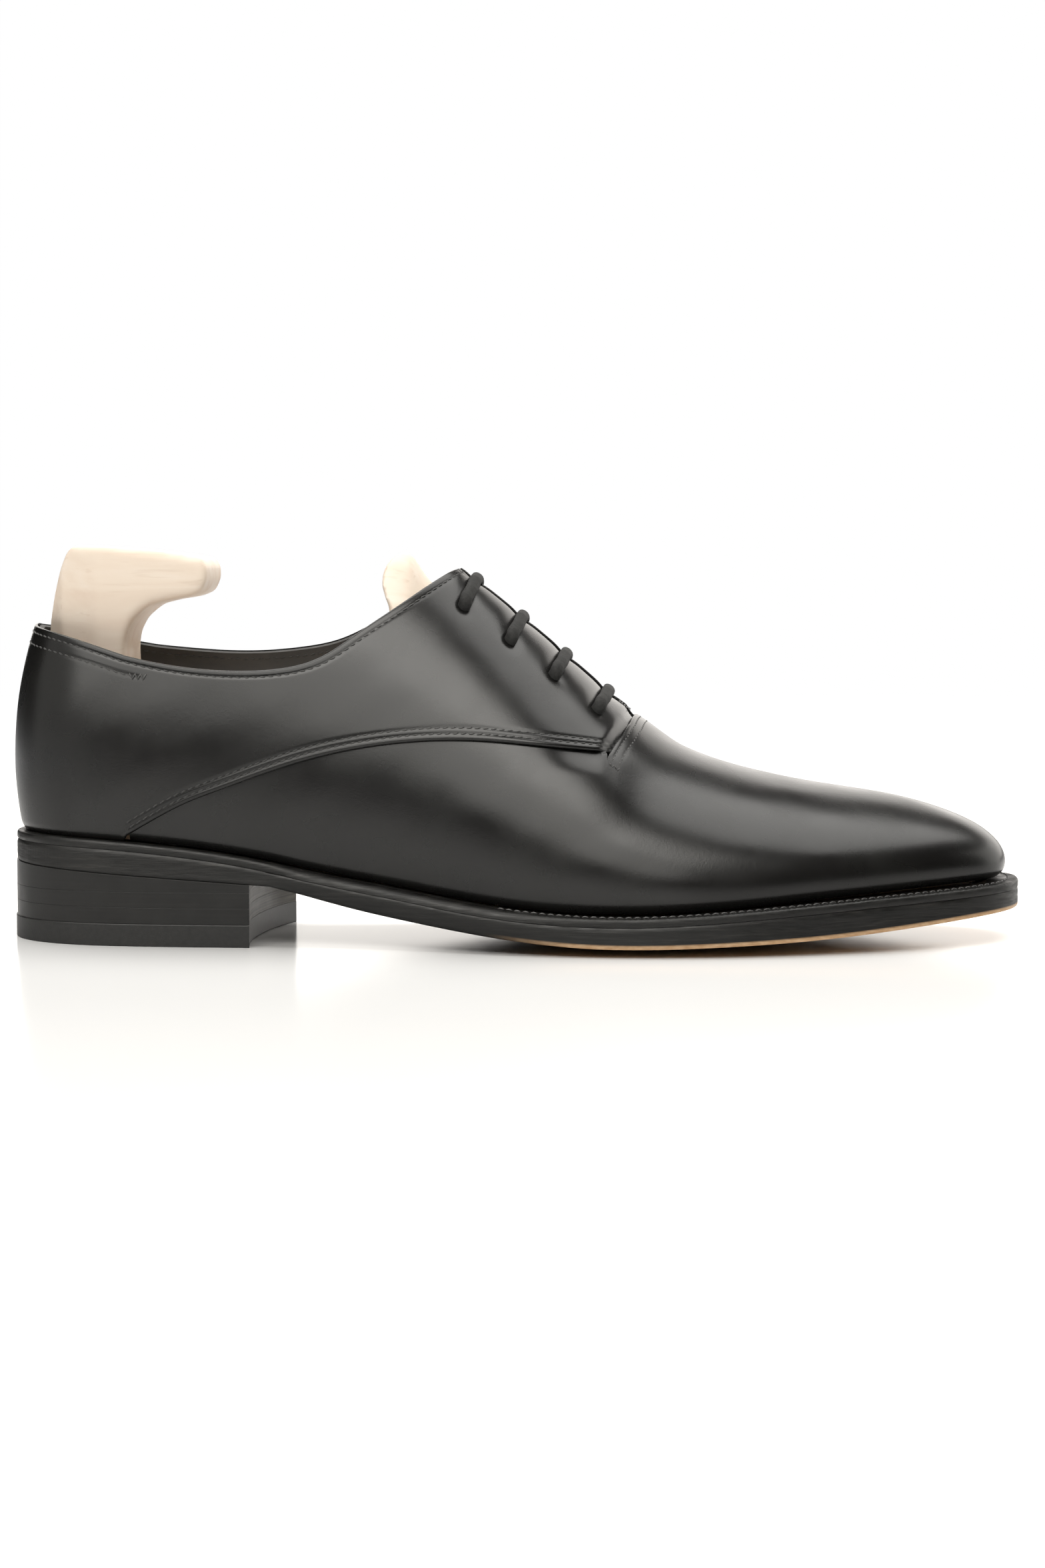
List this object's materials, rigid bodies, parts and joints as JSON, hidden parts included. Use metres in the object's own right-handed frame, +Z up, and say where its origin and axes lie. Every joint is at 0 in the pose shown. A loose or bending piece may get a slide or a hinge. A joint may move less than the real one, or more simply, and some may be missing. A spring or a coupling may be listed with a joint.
{
  "type": "oxford shoe",
  "caption": "Right-foot laced leather oxford shoe with a welted sole and stacked heel, fitted with a hinged wooden shoe tree",
  "frame": {"origin": "on the ground, under the middle of the shoe's bounding box", "axes": "+X points to the toe, +Y to the inner (medial) side, +Z up; the outer (lateral) side is -Y"},
  "size_m": [0.3035, 0.1035, 0.1177],
  "materials": {
    "box_calf": "black box calf, smooth, polished to a soft sheen",
    "lining_leather": "dark vegetable-tanned lining calf, matt",
    "leather_board": "leather board stiffener, matt",
    "waxed_cotton": "black round waxed cotton braid",
    "steel": "plain brushed steel",
    "insole_leather": "natural vegetable-tanned leather",
    "cork": "cork and resin filler",
    "sole_leather": "black-inked, burnished sole leather edges",
    "rubber": "matt black heel rubber",
    "brass": "plain brass",
    "beech": "pale, finely sanded, lightly waxed beech"
  },
  "bodies": {
    "shoe": {"vamp": "box_calf", "quarter_lateral": "box_calf", "quarter_medial": "box_calf", "tongue": "box_calf", "vamp_lining": "lining_leather", "quarter_lining": "lining_leather", "sock_lining": "lining_leather", "heel_counter": "leather_board", "toe_puff": "leather_board", "lace": "waxed_cotton", "eyelet_lateral_1": "steel", "eyelet_lateral_2": "steel", "eyelet_lateral_3": "steel", "eyelet_lateral_4": "steel", "eyelet_medial_1": "steel", "eyelet_medial_2": "steel", "eyelet_medial_3": "steel", "eyelet_medial_4": "steel", "shank": "steel", "hinge_leaf_front": "steel", "hinge_pin": "steel", "hinge_screw_front_1": "steel", "hinge_screw_front_2": "steel", "insole": "insole_leather", "insole_rib": "insole_leather", "cork_filler": "cork", "welt": "sole_leather", "heel_rand": "sole_leather", "outsole": "sole_leather", "heel_lift_1": "sole_leather", "heel_lift_2": "sole_leather", "heel_lift_3": "sole_leather", "heel_top_piece": "rubber", "heel_nail_1": "brass", "heel_nail_2": "brass", "heel_nail_3": "brass", "heel_nail_4": "brass", "heel_nail_5": "brass", "tree_forepart": "beech"},
    "tree_heel": {"tree_heel_block": "beech", "hinge_leaf_rear": "steel", "hinge_screw_rear_1": "steel", "hinge_screw_rear_2": "steel"}
  },
  "joints": [
    {"name": "tree_fold", "type": "hinge", "parent": "shoe", "child": "tree_heel", "pos_m": [-0.0396, -0.002, 0.05], "axis": [0, 1, 0], "range_deg": [0, 25]}
  ]
}
